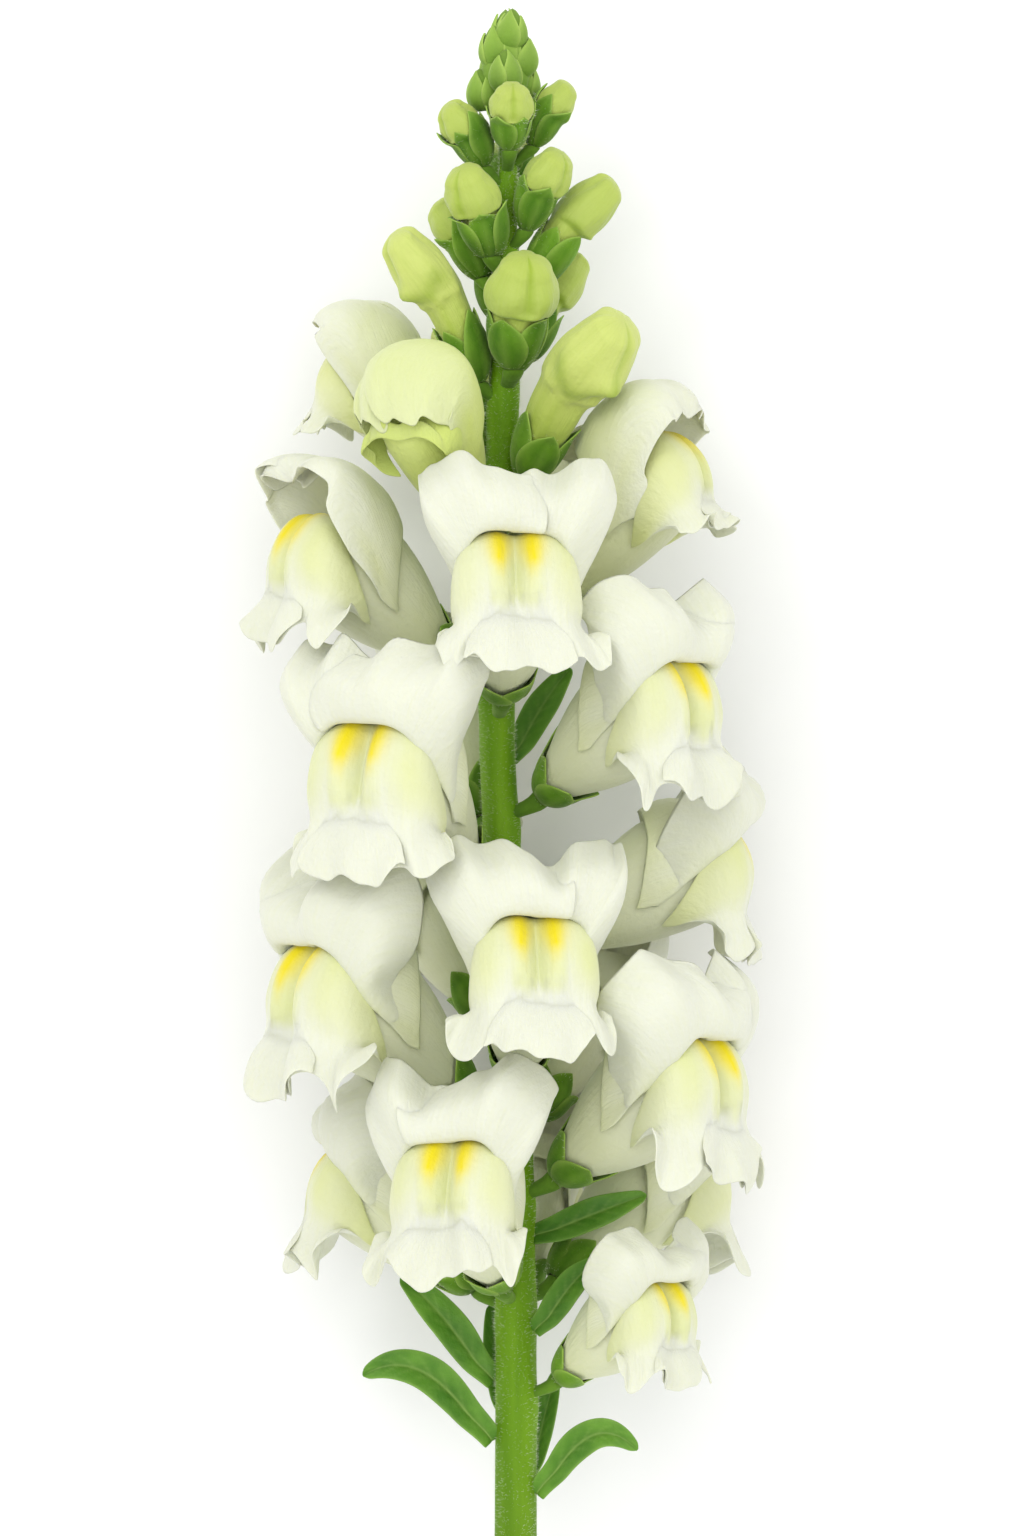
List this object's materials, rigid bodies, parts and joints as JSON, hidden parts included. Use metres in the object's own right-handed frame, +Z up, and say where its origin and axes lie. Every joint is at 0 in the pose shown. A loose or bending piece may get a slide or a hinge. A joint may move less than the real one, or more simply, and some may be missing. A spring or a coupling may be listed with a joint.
{
  "type": "snapdragon stem",
  "caption": "Cut stem of white snapdragon lying down: open two-lipped blooms round the stem, yellow-green buds above, lance-shaped leaves below.",
  "frame": {"origin": "middle of the bounding box, on the surface the stem lies on", "axes": "+X across the stem, +Y along it towards the flowering tip, +Z up, away from the surface"},
  "size_m": [0.098, 0.3088, 0.0878],
  "materials": {
    "petal": "velvety white petal",
    "opening_petal": "velvety cream-green petal",
    "bud": "soft yellow-green bud",
    "green": "fresh green stem and sepals, finely hairy",
    "leaf": "satin leaf"
  },
  "bodies": {
    "root": {"leafy_stem": "green", "bloom_a": "petal", "bloom_b": "opening_petal", "bloom_c": "petal", "bloom_d": "petal", "bloom_e": "petal", "bloom_f": "petal", "bloom_g": "petal", "bloom_h": "petal", "bloom_i": "petal", "bloom_j": "petal", "bloom_k": "petal", "bloom_l": "petal", "bloom_m": "petal", "bloom_n": "petal", "bloom_o": "petal", "bloom_p": "petal", "bloom_q": "petal", "bloom_r": "petal", "bloom_s": "petal", "bloom_t": "petal", "bud_a": "bud", "bud_b": "bud", "bud_c": "bud", "bud_d": "bud", "bud_e": "bud", "bud_f": "bud", "bud_g": "bud", "bud_h": "bud", "bud_i": "bud", "bud_j": "bud", "bud_k": "bud", "bud_l": "bud", "bud_m": "bud", "bud_n": "bud", "leaf_low_left": "leaf", "leaf_upper_left": "leaf", "leaf_back_left": "leaf", "leaf_low_right": "leaf", "leaf_back_right": "leaf", "leaf_mid_right": "leaf", "leaf_bract_right": "leaf", "leaf_behind_right": "leaf"}
  },
  "joints": []
}
